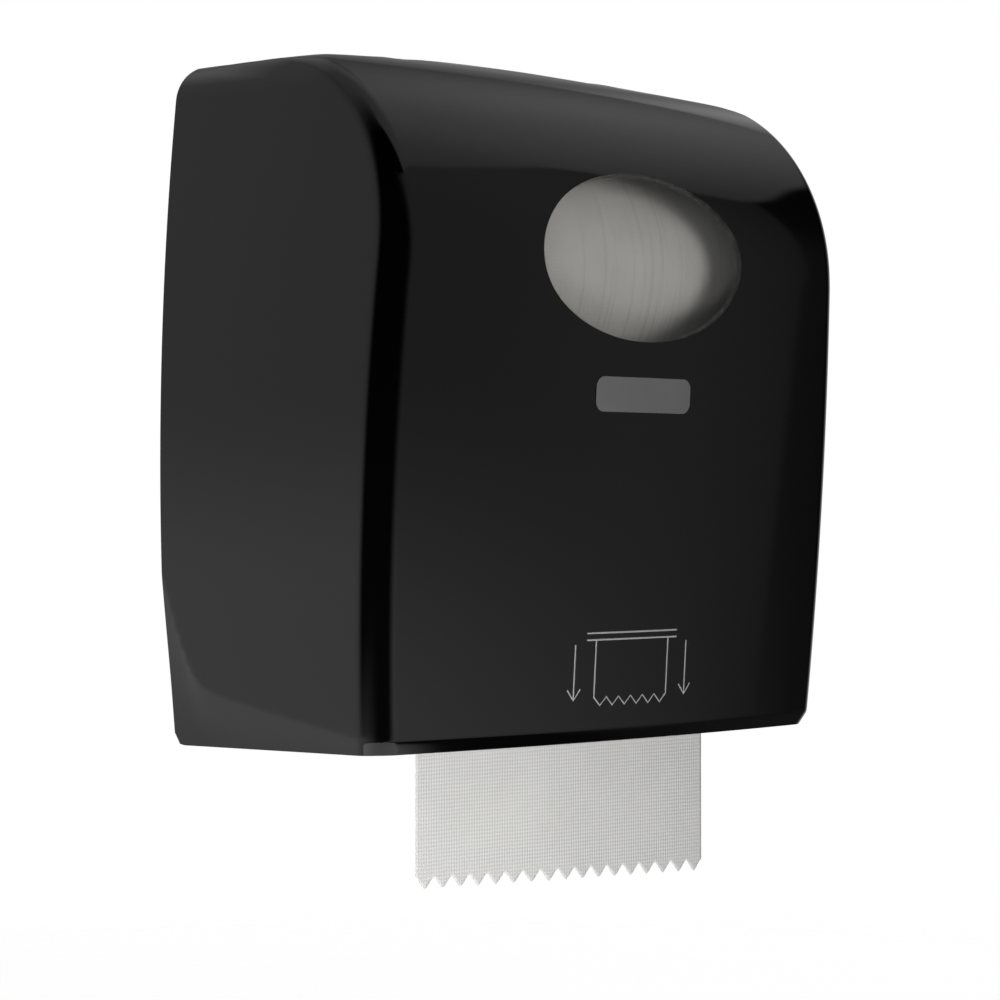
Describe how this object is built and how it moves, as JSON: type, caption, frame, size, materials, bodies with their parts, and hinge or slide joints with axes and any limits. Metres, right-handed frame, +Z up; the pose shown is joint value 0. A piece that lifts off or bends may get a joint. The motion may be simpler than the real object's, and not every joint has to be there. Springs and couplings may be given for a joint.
{
  "type": "paper towel dispenser",
  "caption": "Wall-mounted roll towel dispenser: crowned black cover hinged at its base, oval window, key lock on top, sprung roll arm, feed drum with a swinging knife, towel end below.",
  "frame": {"origin": "on the wall face, at the middle of the four wall screws", "axes": "+X right and -Y forward when facing the front, +Z up"},
  "size_m": [0.3158, 0.1734, 0.4046],
  "materials": {
    "cover_black": "polished moulding",
    "lens_clear": "clear",
    "lock_metal": "satin",
    "zinc_steel": "zinc plated",
    "blade_steel": "ground",
    "plate_grey": "moulded",
    "frame_grey": "moulded",
    "arm_grey": "moulded",
    "drum_grey": "moulded",
    "wheel_grey": "moulded",
    "bush_white": "moulded",
    "grip_rubber": "matte",
    "towel_paper": "embossed",
    "core_card": "wound"
  },
  "bodies": {
    "root": {"back_plate": "plate_grey", "side_frame_right": "frame_grey", "side_frame_left": "frame_grey", "frame_screws": "zinc_steel", "axle_bushes": "bush_white", "carrier_shaft": "zinc_steel", "knife_cam": "frame_grey", "chute_guide": "frame_grey", "bottom_pan": "frame_grey", "lock_strike": "zinc_steel", "hinge_pins": "zinc_steel", "roll_arm_left": "arm_grey", "core_hub_left": "bush_white", "hub_rivet_left": "zinc_steel", "arm_pivot_pin": "zinc_steel", "towel_web": "towel_paper", "towel_tail": "towel_paper"},
    "arm": {"roll_arm_right": "arm_grey", "core_hub_right": "bush_white", "hub_rivet_right": "zinc_steel"},
    "roll": {"core_tube": "core_card", "towel_roll": "towel_paper"},
    "cover": {"front_cover": "cover_black", "window_lens": "lens_clear", "lock_housing": "lock_metal"},
    "lock": {"lock_barrel": "lock_metal", "lock_cam": "zinc_steel"},
    "drum": {"drum_shell_front": "drum_grey", "drum_shell_back": "drum_grey", "drum_cap_right": "drum_grey", "drum_cap_left": "drum_grey", "drum_axle": "zinc_steel", "grip_bands": "grip_rubber", "feed_wheel": "wheel_grey", "wheel_screw": "zinc_steel"},
    "knife": {"knife_carrier": "frame_grey", "knife_blade": "blade_steel", "knife_shaft": "zinc_steel", "follower_arm": "frame_grey", "cam_follower": "bush_white"},
    "carrier": {"roller_carrier": "arm_grey"},
    "pinch": {"pinch_shaft": "zinc_steel", "pinch_sleeves": "grip_rubber"}
  },
  "joints": [
    {"name": "cover_hinge", "type": "hinge", "parent": "root", "child": "cover", "pos_m": [0, -0.014, -0.149], "axis": [1, 0, 0], "range_deg": [0, 85]},
    {"name": "lock_turn", "type": "hinge", "parent": "cover", "child": "lock", "pos_m": [0, -0.032, 0.1695], "axis": [0, 0, 1], "range_deg": [0, 90]},
    {"name": "drum_spin", "type": "hinge", "parent": "root", "child": "drum", "pos_m": [0, -0.0763, -0.085], "axis": [1, 0, 0], "continuous": true},
    {"name": "knife_swing", "type": "hinge", "parent": "drum", "child": "knife", "pos_m": [0, -0.08194, -0.11161], "axis": [1, 0, 0], "range_deg": [0, 24], "stiffness_Nm_per_rad": 0.06, "springref_deg": -68.75},
    {"name": "roll_spin", "type": "hinge", "parent": "root", "child": "roll", "pos_m": [0, -0.084, 0.066], "axis": [1, 0, 0], "continuous": true},
    {"name": "carrier_rock", "type": "hinge", "parent": "root", "child": "carrier", "pos_m": [0, -0.026, -0.042], "axis": [-1, 0, 0], "range_deg": [0, 6], "stiffness_Nm_per_rad": 0.6, "springref_deg": -34.38},
    {"name": "pinch_spin", "type": "hinge", "parent": "carrier", "child": "pinch", "pos_m": [0, -0.0592, -0.03802], "axis": [1, 0, 0], "continuous": true},
    {"name": "arm_swing", "type": "hinge", "parent": "root", "child": "arm", "pos_m": [0.1025, -0.011, 0.066], "axis": [0, 0, 1], "range_deg": [0, 14], "stiffness_Nm_per_rad": 1, "springref_deg": -22.92}
  ],
  "couplings": [
    {"joint": "roll_spin", "follows": "drum_spin", "ratio": -0.5725},
    {"joint": "pinch_spin", "follows": "drum_spin", "ratio": -3.7619}
  ]
}
